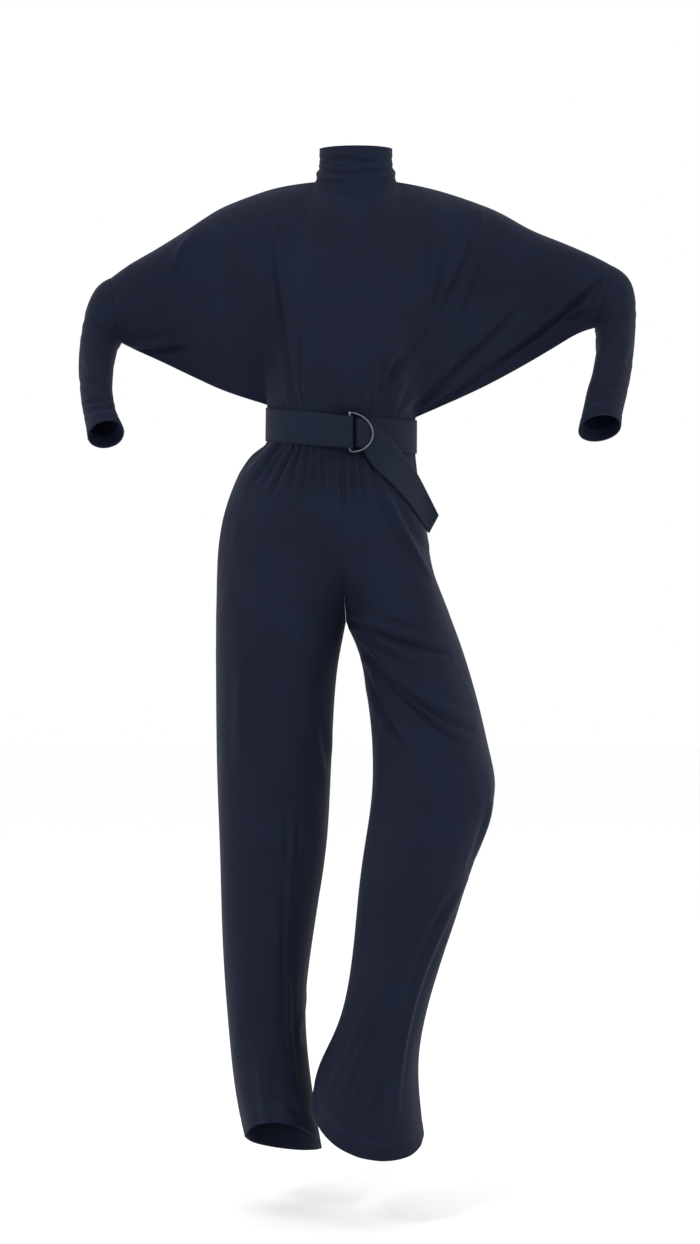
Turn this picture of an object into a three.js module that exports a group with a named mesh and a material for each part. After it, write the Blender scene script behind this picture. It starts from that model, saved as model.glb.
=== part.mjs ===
// A worn jumpsuit in dark jersey: batwing bodice with a high collar, tight lower sleeves,
// a sash belt closed with two D-rings, and wide trousers with the left knee bent.
// Millimetres, +Z up, the front faces -Y. The origin is the middle of the shoulder line.
import * as THREE from "three";

// Cloth
const WALL = 1.6;
const BELT_CLOTH = 2.4;
const SEAM_GAP = 0.3;

// Waist seam: an ellipse in a plane that dips to the wearer's left and to the front
const WAIST = { x: -22, halfWidth: 111, halfDepth: 92, height: -361, sideDip: 0.085, frontDip: 0.08 };
const BELT_HEIGHT = 50;
const BELT_TO_SEAM = 29;

// Neck seam
const NECK = { halfWidth: 62, front: -66, back: 52, level: -1, slope: 17, sideRise: 13 };

// Counts of columns and rows in the walls
const BODICE_COLUMNS = 48;
const BODICE_FRONT_ROWS = 14;
const BODICE_BACK_ROWS = 10;
const TROUSER_FRONT_COLUMNS = 16;
const TROUSER_BACK_COLUMNS = 11;
const SLEEVE_COLUMNS = 14;
const COLLAR_COLUMNS = 24;
const BELT_ROWS = 3;

// D-rings: two wire rings, one behind the other, with the straight bars in the belt's loop
const RING = { height: 58, depth: 34, wire: 1.5, arcSteps: 20, barSteps: 6, sides: 8 };

const GATHER = { bodice: 1.6, trousers: 1.8 };

const { PI, sin, cos, exp, hypot, min, max } = Math;
const clamp = (value) => min(max(value, 0), 1);
const mix = (a, b, t) => a + (b - a) * t;
const smooth = (value) => clamp(value) ** 2 * (3 - 2 * clamp(value));
const vector = (x, y, z) => new THREE.Vector3(x, y, z);

function table(columns, ...rows) {
  const names = columns.split(" ");
  return rows.map((row) => Object.fromEntries(names.map((name, i) => [name, row[i]])));
}

// A smooth curve through one column of a table, read at any value of the key column
function track(rows, key, column) {
  const at = rows.map((row) => row[key]);
  const value = rows.map((row) => row[column]);
  const last = rows.length - 1;
  const slope = at.map((_, i) => {
    const before = max(i - 1, 0);
    const after = min(i + 1, last);
    return (value[after] - value[before]) / (at[after] - at[before]);
  });
  const sign = Math.sign(at[last] - at[0]);
  return (place) => {
    let i = 0;
    while (i < last - 1 && sign * (place - at[i + 1]) > 0) i += 1;
    const span = at[i + 1] - at[i];
    const t = clamp((place - at[i]) / span);
    const rise = smooth(t);
    const curve = slope[i] * t * (1 - t) ** 2 - slope[i + 1] * t * t * (1 - t);
    return mix(value[i], value[i + 1], rise) + span * curve;
  };
}

function tracks(rows, key) {
  const names = Object.keys(rows[0]).filter((name) => name !== key);
  const curves = names.map((name) => [name, track(rows, key, name)]);
  return (place) => Object.fromEntries(curves.map(([name, curve]) => [name, curve(place)]));
}

// A fold is a soft trough (depth below 0) or ridge along a bowed line across the front view
const FOLD_STEPS = 10;
function foldLines(folds) {
  return folds.map((fold) => {
    const along = [fold.toX - fold.x, fold.toZ - fold.z];
    const line = [];
    for (let i = 0; i <= FOLD_STEPS; i += 1) {
      const t = i / FOLD_STEPS;
      const bow = 4 * fold.bow * t * (1 - t);
      line.push([fold.x + along[0] * t - along[1] * bow, fold.z + along[1] * t + along[0] * bow]);
    }
    return { ...fold, line };
  });
}

function foldHeight(lines, x, z) {
  let height = 0;
  for (const fold of lines) {
    let nearest = Infinity;
    let place = 0;
    fold.line.forEach(([fx, fz], i) => {
      const distance = hypot(fx - x, fz - z);
      if (distance < nearest) {
        nearest = distance;
        place = i / FOLD_STEPS;
      }
    });
    const taper = 0.35 + 0.65 * sin(PI * clamp(0.08 + 0.84 * place));
    height += fold.depth * taper * exp(-((nearest / fold.width) ** 2));
  }
  return height;
}

// A sheet is a grid of points on the cloth's outer face; facing is -1 where the grid is mirrored
function makeSheet(rows, columns, pointAt, facing = 1, closed = false) {
  const points = [];
  for (let r = 0; r <= rows; r += 1) {
    points.push([]);
    for (let c = 0; c <= columns; c += 1) points[r].push(pointAt(r, c));
  }
  const sheet = { points, rows, columns, facing, closed };
  sheet.normals = sheetNormals(sheet);
  return sheet;
}

function sheetNormals({ points, rows, columns, facing, closed }) {
  return points.map((line, r) =>
    line.map((_, c) => {
      const down = points[min(r + 1, rows)][c].clone().sub(points[max(r - 1, 0)][c]);
      const before = closed && c === 0 ? columns - 1 : max(c - 1, 0);
      const after = closed && c === columns ? 1 : min(c + 1, columns);
      const across = line[after].clone().sub(line[before]);
      return down.cross(across).multiplyScalar(facing).normalize();
    }),
  );
}

// Moves the cloth out by the height that the function gives, then finds the normals again
function pushOut(sheet, heightAt) {
  sheet.points.forEach((line, r) =>
    line.forEach((point, c) => point.addScaledVector(sheet.normals[r][c], heightAt(point, r, c))),
  );
  sheet.normals = sheetNormals(sheet);
}

const rowEdge = (row, from, to) => {
  const cells = [];
  for (let c = from; c <= to; c += 1) cells.push([row, c]);
  return cells;
};
const columnEdge = (column, from, to) => {
  const cells = [];
  for (let r = from; r <= to; r += 1) cells.push([r, column]);
  return cells;
};

// Gives the sheets that meet along a seam the same normals there
function joinNormals(...parts) {
  const [, firstEdge] = parts[0];
  firstEdge.forEach((_, i) => {
    const sum = vector(0, 0, 0);
    for (const [sheet, edge] of parts) sum.add(sheet.normals[edge[i][0]][edge[i][1]]);
    sum.normalize();
    for (const [sheet, edge] of parts) sheet.normals[edge[i][0]][edge[i][1]].copy(sum);
  });
}

// Turns the normals along an edge into the plane that the axis stands on
function squareNormals(sheet, edge, axis) {
  for (const [r, c] of edge) sheet.normals[r][c].projectOnPlane(axis).normalize();
}

// Draws an edge back from its seam by half of the gap
function openSeam(sheet, edge, away) {
  for (const [r, c] of edge) sheet.points[r][c].addScaledVector(away, SEAM_GAP / 2);
}

// Closes a sheet into a wall: the outer face, the inner face and the cut edges between them
function wallGeometry(sheet, wall = WALL) {
  const { points, normals, rows, columns, closed, facing } = sheet;
  const across = closed ? columns : columns + 1;
  const layer = (rows + 1) * across;
  const positions = [];
  for (const depth of [0, wall]) {
    for (let r = 0; r <= rows; r += 1) {
      for (let c = 0; c < across; c += 1) {
        positions.push(...points[r][c].clone().addScaledVector(normals[r][c], -depth).toArray());
      }
    }
  }
  const at = (r, c, inner) => inner * layer + r * across + (c % across);
  const index = [];
  const quad = (a, b, c, d) => index.push(...(facing > 0 ? [a, b, c, a, c, d] : [a, c, b, a, d, c]));
  for (let r = 0; r < rows; r += 1) {
    for (let c = 0; c < columns; c += 1) {
      quad(at(r, c, 0), at(r + 1, c, 0), at(r + 1, c + 1, 0), at(r, c + 1, 0));
      quad(at(r, c, 1), at(r, c + 1, 1), at(r + 1, c + 1, 1), at(r + 1, c, 1));
    }
  }
  for (let c = 0; c < columns; c += 1) {
    quad(at(0, c, 0), at(0, c + 1, 0), at(0, c + 1, 1), at(0, c, 1));
    quad(at(rows, c, 0), at(rows, c, 1), at(rows, c + 1, 1), at(rows, c + 1, 0));
  }
  for (let r = 0; r < rows && !closed; r += 1) {
    quad(at(r, 0, 0), at(r, 0, 1), at(r + 1, 0, 1), at(r + 1, 0, 0));
    quad(at(r, columns, 0), at(r + 1, columns, 0), at(r + 1, columns, 1), at(r, columns, 1));
  }
  const geometry = new THREE.BufferGeometry();
  geometry.setAttribute("position", new THREE.Float32BufferAttribute(positions, 3));
  geometry.setIndex(index);
  geometry.computeVertexNormals();
  return geometry;
}

const jersey = new THREE.MeshStandardMaterial({ color: 0x1d2330, roughness: 0.9, metalness: 0 });
const sashJersey = new THREE.MeshStandardMaterial({ color: 0x22283a, roughness: 0.88, metalness: 0 });
const ringMetal = new THREE.MeshStandardMaterial({ color: 0x8a8d92, roughness: 0.3, metalness: 1 });

const garment = new THREE.Group();
function add(name, geometry, material) {
  const mesh = new THREE.Mesh(geometry, material);
  mesh.name = name;
  garment.add(mesh);
}

const FRONT = vector(0, -1, 0);
const BACK = vector(0, 1, 0);
const UP = vector(0, 0, 1);

// The waist seam's height over a point, and its point at an angle (0 at the left side, -90 in front)
const waistHeight = (x, y) => WAIST.height - WAIST.sideDip * (x - WAIST.x) + WAIST.frontDip * y;
const waistAxis = vector(WAIST.sideDip, -WAIST.frontDip, 1).normalize();
function waistPoint(angle, above = 0, out = 0) {
  const x = WAIST.x + (WAIST.halfWidth + out) * cos(angle);
  const y = (WAIST.halfDepth + out) * sin(angle);
  return vector(x, y, waistHeight(x, y) + above);
}

function neckPoint(angle) {
  const middle = (NECK.front + NECK.back) / 2;
  const reach = (NECK.back - NECK.front) / 2;
  const x = NECK.halfWidth * cos(angle);
  const y = reach * sin(angle) + middle * sin(angle) ** 2;
  return vector(x, y, NECK.level + NECK.slope * sin(angle) + NECK.sideRise * cos(angle) ** 2);
}

// Bodice. Its columns run from the shoulder line to the underarm or waist seam. They are numbered
// from the right elbow seam, through the right side, the waist and the left side, to the left elbow.
const RIGHT_SIDE = 14;
const WAIST_FROM = 16;
const NECK_FROM = 18;
const NECK_TO = 30;
const WAIST_TO = 32;
const LEFT_SIDE = 34;

const rightHip = waistPoint(PI, BELT_TO_SEAM);
const leftHip = waistPoint(0, BELT_TO_SEAM);
const wingLines = {
  right: tracks(
    table(
      "at topX topZ lowX lowZ",
      [0, -367.5, -132, -352, -229.5],
      [2, -340, -112, -330, -240.5],
      [5, -300, -89, -292, -257.5],
      [8, -252, -59, -243, -281],
      [11, -206, -29, -195, -302.5],
      [14, -160, -10, rightHip.x, rightHip.z],
    ),
    "at",
  ),
  left: tracks(
    table(
      "at topX topZ lowX lowZ",
      [0, 382.5, -113, 358.5, -207],
      [2, 358, -100, 334, -214.5],
      [5, 312, -80, 288, -242],
      [8, 262, -60, 236, -272],
      [11, 214, -33, 176, -303],
      [14, 165, -14, leftHip.x, leftHip.z],
    ),
    "at",
  ),
};

const shoulderLine = tracks(
  table(
    "at x z",
    [14, -160, -10],
    [16, -117, 4],
    [18, -62, 12],
    [24, 0, 12],
    [30, 62, 12],
    [32, 117, 1],
    [34, 165, -14],
  ),
  "at",
);

// How far each column stands out to the front and to the back, where it stands out most, how fast
// it falls back below that, how round its top is, and how round both of its ends are
const fullness = tracks(
  table(
    "at front back peak fall ease round",
    [0, 44, 44, 0.5, 2, 1.5, 1],
    [2, 45, 43, 0.44, 1.7, 1.5, 0.6],
    [5, 46, 44, 0.38, 1.4, 1.5, 0.2],
    [8, 50, 46, 0.36, 1.3, 1.5, 0],
    [11, 62, 56, 0.4, 1.6, 1.5, 0],
    [14, 76, 68, 0.44, 2, 1.5, 0],
    [16, 80, 71, 0.44, 2.2, 1.45, 0],
    [18.5, 75, 64, 0.44, 3, 1.25, 0],
    [21, 49, 43, 0.44, 5, 1.15, 0],
    [24, 38, 30, 0.45, 6, 1.1, 0],
    [27, 49, 43, 0.44, 5, 1.15, 0],
    [29.5, 75, 64, 0.44, 3, 1.25, 0],
    [32, 80, 71, 0.44, 2.2, 1.45, 0],
    [34, 76, 68, 0.44, 2, 1.5, 0],
    [37, 62, 56, 0.4, 1.6, 1.5, 0],
    [40, 50, 46, 0.36, 1.3, 1.5, 0],
    [43, 46, 44, 0.38, 1.4, 1.5, 0.2],
    [46, 45, 43, 0.44, 1.7, 1.5, 0.6],
    [48, 44, 44, 0.5, 2, 1.5, 1],
  ),
  "at",
);

// Where the one column that ends on the upright part of the side seam meets it
const SIDE_STEP = 0.9;

function seamTop(at, side) {
  if (at >= NECK_FROM && at <= NECK_TO) {
    return neckPoint(side * PI * (1 - (at - NECK_FROM) / (NECK_TO - NECK_FROM)));
  }
  if (at < RIGHT_SIDE) {
    const line = wingLines.right(at);
    return vector(line.topX, 0, line.topZ);
  }
  if (at > LEFT_SIDE) {
    const line = wingLines.left(BODICE_COLUMNS - at);
    return vector(line.topX, 0, line.topZ);
  }
  const line = shoulderLine(at);
  return vector(line.x, 0, line.z);
}

// The seam at the foot of a column: underarm, down the side to the waist seam, and round the waist
function seamLow(at, side) {
  if (at <= RIGHT_SIDE) {
    const line = wingLines.right(at);
    return vector(line.lowX, 0, line.lowZ);
  }
  if (at >= LEFT_SIDE) {
    const line = wingLines.left(BODICE_COLUMNS - at);
    return vector(line.lowX, 0, line.lowZ);
  }
  if (at < WAIST_FROM) return waistPoint(PI, SIDE_STEP * BELT_TO_SEAM);
  if (at > WAIST_TO) return waistPoint(0, SIDE_STEP * BELT_TO_SEAM);
  return waistPoint(side * PI * (1 - (at - WAIST_FROM) / (WAIST_TO - WAIST_FROM)));
}

// The point where a column turns in under its blouse, just over the belt's top edge. Beside the side
// seam it is ahead of the column's foot, so that the cloth there keeps its width.
const SIDE_LEAD = 0.75;
function beltTop(at, side) {
  const step = PI / (WAIST_TO - WAIST_FROM);
  const fromSide = min(at - RIGHT_SIDE, LEFT_SIDE - at);
  const ahead = fromSide < 2 ? fromSide / 2 : exp((2 - fromSide) / 1.6);
  const turn = step * (max(fromSide - 2, 0) + SIDE_LEAD * ahead);
  return waistPoint(side * (at < BODICE_COLUMNS / 2 ? PI - turn : turn), BELT_TO_SEAM);
}

function drape(top, low, part, full, side) {
  const share = full[side < 0 ? "front" : "back"];
  const even = (1 - cos(PI * part)) / 2;
  const place = mix(part ** full.ease, even, full.round);
  const rise = sin((PI / 2) * clamp(part / full.peak));
  const fall = 1 - clamp((part - full.peak) / (1 - full.peak)) ** full.fall;
  const out = share * (part < full.peak ? rise : fall);
  return top.clone().lerp(low, place).addScaledVector(vector(0, side, 0), out);
}

const BELTED_ROWS = 2;
function bodicePoint(at, row, rows, side) {
  const full = fullness(at);
  const top = seamTop(at, side);
  const low = seamLow(at, side);
  if (at <= RIGHT_SIDE || at >= LEFT_SIDE) return drape(top, low, row / rows, full, side);
  const turnIn = beltTop(at, side);
  const above = rows - BELTED_ROWS;
  if (row <= above) return drape(top, turnIn, row / above, full, side);
  return turnIn.lerp(low, (row - above) / BELTED_ROWS);
}

// Folds of the front bodice: from the waist and the underarm out to the wings
const bodiceFolds = foldLines(
  table(
    "x z toX toZ bow width depth",
    [-131, -40, -93, -322, -0.04, 13, -5],
    [-97, -222, -84, -322, 0, 11, -4.5],
    [-244, -64, -277, -120, 0, 14, 4],
    [-350, -228, -272, -221, 0.05, 12, 4.5],
    [-294, -240, -246, -236, 0, 12, -3.5],
    [73, -336, 252, -171, 0.03, 20, -5],
    [87, -334, 385, -122, -0.04, 14, -8.5],
    [192, -100, 84, -322, 0.05, 14, -6],
    [180, -62, 40, -300, 0.06, 15, -5.5],
    [139, -66, 108, -200, 0.04, 13, -5],
    [78, -218, 30, -322, 0.04, 13, -4.5],
    [186, -26, 184, -66, 0, 14, 3],
    [290, -190, 338, -208, 0, 13, -4],
  ),
);

// Similar folds on the back, which falls in longer and softer ones
const backFolds = foldLines(
  table(
    "x z toX toZ bow width depth",
    [-96, -60, -70, -318, 0.03, 18, -6],
    [-225, -130, -110, -312, -0.05, 18, -6],
    [-300, -150, -160, -290, -0.04, 16, -5],
    [12, -90, 2, -318, 0.02, 20, -5],
    [118, -60, 62, -326, 0.04, 18, -6],
    [236, -120, 92, -330, 0.05, 18, -6.5],
    [318, -140, 170, -290, 0.05, 16, -5],
  ),
);

const GATHER_REACH = 6;
function gatherBodice(row, column, rows) {
  const across = column - WAIST_FROM;
  const last = WAIST_TO - WAIST_FROM;
  if (across <= 0 || across >= last) return 0;
  const fade = smooth(1 - (rows - BELTED_ROWS - row) / GATHER_REACH);
  const uneven = 0.7 + 0.3 * sin(across * 2.3);
  return row >= rows - BELTED_ROWS ? 0 : GATHER.bodice * fade * uneven * (across % 2 ? 1 : -1);
}

const elbowAxis = {
  right: seamLow(0, -1).sub(seamTop(0, -1)).cross(FRONT).normalize(),
  left: seamLow(BODICE_COLUMNS, -1).sub(seamTop(BODICE_COLUMNS, -1)).cross(BACK).normalize(),
};

function bodiceSheet(side, rows, folds) {
  const sheet = makeSheet(
    rows,
    BODICE_COLUMNS,
    (r, c) => bodicePoint(c, r, rows, side),
    side < 0 ? 1 : -1,
  );
  pushOut(sheet, (point, r, c) => {
    if (c === 0 || c === BODICE_COLUMNS || r === 0 || r === rows) return 0;
    const nearRim = smooth(min(r, rows - r, c, BODICE_COLUMNS - c) / 1.6);
    const belted = r >= rows - BELTED_ROWS && c >= RIGHT_SIDE && c <= LEFT_SIDE;
    if (belted) return 0;
    return foldHeight(folds, point.x, point.z) * nearRim + gatherBodice(r, c, rows);
  });
  return sheet;
}

const bodiceFront = bodiceSheet(-1, BODICE_FRONT_ROWS, bodiceFolds);
const bodiceBack = bodiceSheet(1, BODICE_BACK_ROWS, backFolds);

for (const [from, to] of [[0, NECK_FROM], [NECK_TO, BODICE_COLUMNS]]) {
  joinNormals([bodiceFront, rowEdge(0, from, to)], [bodiceBack, rowEdge(0, from, to)]);
}
for (const [from, to] of [[0, WAIST_FROM], [WAIST_TO, BODICE_COLUMNS]]) {
  joinNormals(
    [bodiceFront, rowEdge(BODICE_FRONT_ROWS, from, to)],
    [bodiceBack, rowEdge(BODICE_BACK_ROWS, from, to)],
  );
}
for (const [sheet, away] of [[bodiceFront, FRONT], [bodiceBack, BACK]]) {
  const { rows, columns } = sheet;
  const shoulders = [...rowEdge(0, 0, NECK_FROM), ...rowEdge(0, NECK_TO, columns)];
  const underarms = [...rowEdge(rows, 0, WAIST_FROM), ...rowEdge(rows, WAIST_TO, columns)];
  const waist = rowEdge(rows, WAIST_FROM, WAIST_TO);
  squareNormals(sheet, rowEdge(0, NECK_FROM, NECK_TO), UP);
  squareNormals(sheet, waist, waistAxis);
  squareNormals(sheet, columnEdge(0, 0, rows), elbowAxis.right);
  squareNormals(sheet, columnEdge(columns, 0, rows), elbowAxis.left);
  openSeam(sheet, shoulders, away);
  openSeam(sheet, underarms, away);
  openSeam(sheet, waist, waistAxis);
  openSeam(sheet, rowEdge(0, NECK_FROM, NECK_TO), UP.clone().negate());
  openSeam(sheet, columnEdge(0, 0, rows), elbowAxis.right.clone().negate());
  openSeam(sheet, columnEdge(columns, 0, rows), elbowAxis.left.clone().negate());
}
add("bodice_front", wallGeometry(bodiceFront), jersey);
add("bodice_back", wallGeometry(bodiceBack), jersey);

// Lower sleeves. Each ring runs from its outer point round the front to its inner point and back;
// pitch turns the ring's depth from level towards up as the forearm tilts forward.
const sleeveRings = {
  right: table(
    "outX outY outZ inX inY inZ depth pitch",
    [-367.5, 0, -132, -352, 0, -229.5, 44, 0],
    [-386, 0, -140, -355, -3, -235, 45, 2],
    [-400, -2, -163, -358, -8, -241, 44, 8],
    [-407.5, -8, -195, -359.5, -18, -251, 41, 18],
    [-411.5, -26, -235, -360, -36, -265, 37, 28],
    [-410.5, -50, -271, -360.5, -58, -284, 34, 35],
    [-406.5, -72, -298, -359.5, -78, -305, 32, 37],
    [-403, -92, -322, -356, -95, -327, 30, 38],
    [-397.5, -108, -344, -350, -109, -344, 29, 38],
    [-391.5, -124, -366, -342, -124, -361, 29, 38],
    [-389, -134, -380, -337, -132, -371, 29.5, 38],
  ),
  left: table(
    "outX outY outZ inX inY inZ depth pitch",
    [382.5, 0, -113, 358.5, 0, -207, 44, 0],
    [402, 0, -123, 359.5, -3, -212, 45, 2],
    [415.5, -2, -141, 360, -8, -219, 44, 6],
    [418.5, -8, -171, 359, -18, -230, 42, 14],
    [416.5, -22, -206, 357, -36, -245, 39, 24],
    [412.5, -44, -242, 352.5, -58, -265, 36, 31],
    [406.5, -67, -274, 347, -78, -288, 34, 34],
    [399, -87, -302, 339.5, -96, -313, 32, 35],
    [393, -103, -324, 332.5, -110, -333, 31, 35],
    [387, -117, -345, 327, -122, -352, 31, 35],
    [384.5, -128, -364, 323, -130, -369, 31.5, 35],
  ),
};

// Creases across the sleeves: in the bend of the elbow and above the cuff
const sleeveCreases = [0, -1.5, 2, -2.2, 1.2, -0.6, 0.8, -1.4, 1.2, 0, 0];

function sleeveSheet(rings, name) {
  const half = SLEEVE_COLUMNS / 2;
  const ends = fullness(0);
  const sheet = makeSheet(
    rings.length - 1,
    SLEEVE_COLUMNS,
    (r, c) => {
      const ring = rings[r];
      const side = c <= half ? -1 : 1;
      const part = c <= half ? c / half : (SLEEVE_COLUMNS - c) / half;
      const even = (1 - cos(PI * part)) / 2;
      const rise = sin((PI / 2) * clamp(part / ends.peak));
      const fall = 1 - clamp((part - ends.peak) / (1 - ends.peak)) ** ends.fall;
      const out = side * ring.depth * (part < ends.peak ? rise : fall);
      const pitch = THREE.MathUtils.degToRad(ring.pitch);
      const outer = vector(ring.outX, ring.outY, ring.outZ);
      const inner = vector(ring.inX, ring.inY, ring.inZ);
      return outer.lerp(inner, even).add(vector(0, out * cos(pitch), -out * sin(pitch)));
    },
    name === "right" ? -1 : 1,
    true,
  );
  pushOut(sheet, (_, r, c) => sleeveCreases[r] * (0.6 + 0.4 * cos((2 * PI * (c - half)) / SLEEVE_COLUMNS)));
  const seam = rowEdge(0, 0, SLEEVE_COLUMNS);
  squareNormals(sheet, seam, elbowAxis[name]);
  openSeam(sheet, seam, elbowAxis[name]);
  return sheet;
}
for (const [name, rings] of Object.entries(sleeveRings)) {
  add(`sleeve_${name}`, wallGeometry(sleeveSheet(rings, name)), jersey);
}

// Collar: a high tube that has slid into soft level folds. Level runs from the neck seam (0) to the
// top edge (1), swell is how far the cloth stands out, and slant tips a fold down to one side.
const COLLAR = { halfWidth: 55, front: -62, back: 47, frontTop: 56, backTop: 63 };
const collarRings = table(
  "level swell slant",
  [0, 0, 0],
  [0.13, -2.5, 0],
  [0.24, 1.5, 0.01],
  [0.33, 2.5, 0.02],
  [0.42, -3.5, 0.03],
  [0.5, 3, 0.03],
  [0.56, -1.5, 0.02],
  [0.63, 2.5, 0.01],
  [0.7, -2.5, 0],
  [0.79, 2.5, -0.01],
  [0.9, -0.8, 0],
  [1, 0.4, 0],
);

function collarSheet() {
  const middle = (COLLAR.front + COLLAR.back) / 2;
  const reach = (COLLAR.back - COLLAR.front) / 2;
  const sheet = makeSheet(
    collarRings.length - 1,
    COLLAR_COLUMNS,
    (r, c) => {
      const ring = collarRings[collarRings.length - 1 - r];
      const angle = (2 * PI * c) / COLLAR_COLUMNS;
      const base = neckPoint(angle);
      const round = smooth(ring.level * 1.6);
      const height = ring.level + ring.slant * cos(angle);
      const topZ = mix(COLLAR.frontTop, COLLAR.backTop, (1 + sin(angle)) / 2);
      const x = mix(base.x, COLLAR.halfWidth * cos(angle), round);
      const y = mix(base.y, middle + reach * sin(angle), round);
      const uneven = 0.8 + 0.2 * sin(2 * angle + 6 * ring.level);
      return vector(
        x + ring.swell * uneven * cos(angle),
        y + ring.swell * uneven * sin(angle),
        mix(base.z, topZ, height),
      );
    },
    1,
    true,
  );
  const seam = rowEdge(sheet.rows, 0, COLLAR_COLUMNS);
  squareNormals(sheet, seam, UP);
  openSeam(sheet, seam, UP);
  return sheet;
}
add("collar", wallGeometry(collarSheet()), jersey);

// Trousers. The rows of both legs go down together from the waist seam; above the crotch they start
// on the seam between the legs, and below it on the inner leg seam.
const CROTCH = -648;
const HEM = -1400;
const rowHeights = [
  -361, -390, -397, -408, -428, -454, -490, -530, -568, -600, -625, -640, CROTCH,
  -672, -700, -732, -766, -802, -842, -886, -934, -986, -1042, -1102, -1162, -1222, -1282, -1342, HEM,
];
const CROTCH_ROW = rowHeights.indexOf(CROTCH);
const TROUSER_ROWS = rowHeights.length - 1;

// The trousers above the crotch; thigh is how much further the bent leg lifts its front panel
const hips = tracks(
  table(
    "z seamX front back rightX leftX turn thigh",
    [-361, -22, 92, 92, -133, 89, 0, 0],
    [-390, -22, 92, 92, -133, 89, 0, 0],
    [-397, -22, 93.5, 95, -143, 90, 0, 0],
    [-408, -21, 106, 107, -157, 91, 0, 0],
    [-428, -21, 116, 119, -171, 93, 0, 0],
    [-454, -21, 121, 129, -184, 98, 0, 0],
    [-490, -21, 123, 138, -197, 105, 0, 12],
    [-530, -21, 118, 140, -206, 108.5, 0, 38],
    [-568, -20, 106, 129, -208.5, 114, 8, 62],
    [-600, -18, 84, 104, -209, 126, 34, 46],
    [-625, -16.5, 52, 66, -209.5, 136, 62, 18],
    [-640, -15.5, 20, 28, -210, 141, 80, 5],
    [CROTCH, -15, -5, 5, -210, 144, 90, 0],
  ),
  "z",
);

const legs = {
  right: tracks(
    table(
      "z outX inX outY inY front back",
      [-361, -133, -22, 0, 0, 92, 92],
      [-560, -208, -20, 0, 0, 112, 122],
      [CROTCH, -210, -15, 0, 5, 112, 114],
      [-690, -210, -24, 0, 2, 110, 110],
      [-750, -210, -31.5, 0, 0, 103, 100],
      [-870, -208.5, -37.5, 0, 0, 94, 90],
      [-990, -204, -44, 0, 0, 90, 86],
      [-1050, -202.5, -54, 0, 0, 88, 84],
      [-1110, -201, -63, 0, 0, 86, 82],
      [-1170, -198, -72, 0, 0, 84, 82],
      [-1230, -193.5, -78, 0, 0, 83, 83],
      [-1290, -187.5, -72, 0, 0, 84, 84],
      [-1350, -180, -61, 0, 0, 85, 86],
      [HEM, -167, -51, 0, 0, 85, 88],
    ),
    "z",
  ),
  left: tracks(
    table(
      "z outX inX outY inY front back",
      [-361, 89, -22, 0, 0, 92, 92],
      [-560, 112, -20, -4, 0, 118, 120],
      [CROTCH, 144, -15, -15, 5, 128, 106],
      [-690, 159, 5, -28, -10, 130, 94],
      [-750, 176, 15, -56, -35, 130, 84],
      [-806, 189, 23, -82, -62, 127, 79],
      [-864, 200, 25, -105, -85, 123, 78],
      [-893, 208, 24.5, -115, -96, 119, 80],
      [-950, 187, 17, -125, -110, 111, 85],
      [-1009, 167, 6, -122, -112, 105, 88],
      [-1067, 148, 1, -116, -108, 101, 88],
      [-1126, 130, -4, -108, -102, 98, 86],
      [-1186, 111, -12, -100, -96, 96, 86],
      [-1246, 95, -25, -92, -90, 93, 88],
      [-1306, 88, -46, -85, -90, 90, 88],
      [-1342, 92, -60, -82, -92, 90, 89],
      [HEM, 100, -65, -78, -92, 90, 92],
    ),
    "z",
  ),
};

// How far each hem drops (below 0) or rises from its level at the inner, outer, front and back points
const HEM_RISE_FROM = -1200;
const hemRise = {
  right: { inner: -37, outer: -20, front: 16, back: -55 },
  left: { inner: 50, outer: 0, front: -20, back: 4 },
};

const HALF_OVAL = 4 / 3;
const QUARTER_OVAL = 0.5523;
function bezier(a, b, c, d, t) {
  const s = 1 - t;
  return a * s ** 3 + 3 * b * s * s * t + 3 * c * s * t * t + d * t ** 3;
}

function trouserPoint(leg, side, row, t) {
  const z = rowHeights[row];
  const shape = legs[leg](z);
  const depth = side < 0 ? shape.front : shape.back;
  const above = row <= CROTCH_ROW;
  const hip = hips(max(z, CROTCH));
  const outX = above ? hip[leg === "right" ? "rightX" : "leftX"] : shape.outX;
  const inX = above ? hip.seamX : shape.inX;
  const inY = above ? side * (side < 0 ? hip.front : hip.back) : shape.inY;
  const turn = THREE.MathUtils.degToRad(above ? hip.turn : 90);
  const width = outX - inX;
  const lift = sin(turn);
  const ahead = above ? side * (inY - shape.outY) : 0;
  const ovalPull = HALF_OVAL * (depth - (ahead * lift) / 2);
  const pullIn = mix(QUARTER_OVAL * Math.abs(width), ovalPull, lift);
  const thigh = above && leg === "left" && side < 0 ? hip.thigh : 0;
  const pullOut = mix(QUARTER_OVAL * Math.abs(ahead), ovalPull, lift) + thigh;
  const x = bezier(inX, inX + Math.sign(width) * pullIn * cos(turn), outX, outX, t);
  const y = bezier(inY, inY + side * pullIn * lift, shape.outY + side * pullOut, shape.outY, t);
  const rise = hemRise[leg];
  const middle = side < 0 ? rise.front : rise.back;
  const ends = mix(rise.inner, rise.outer, t);
  const hemPart = smooth((HEM_RISE_FROM - z) / (HEM_RISE_FROM - HEM));
  const hem = (ends + (middle - (rise.inner + rise.outer) / 2) * 4 * t * (1 - t)) * hemPart;
  const tilt = smooth((z - CROTCH) / (WAIST.height - CROTCH));
  const waist = (waistHeight(x, y) - WAIST.height) * tilt;
  return vector(x, y, z + hem + waist);
}

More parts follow.
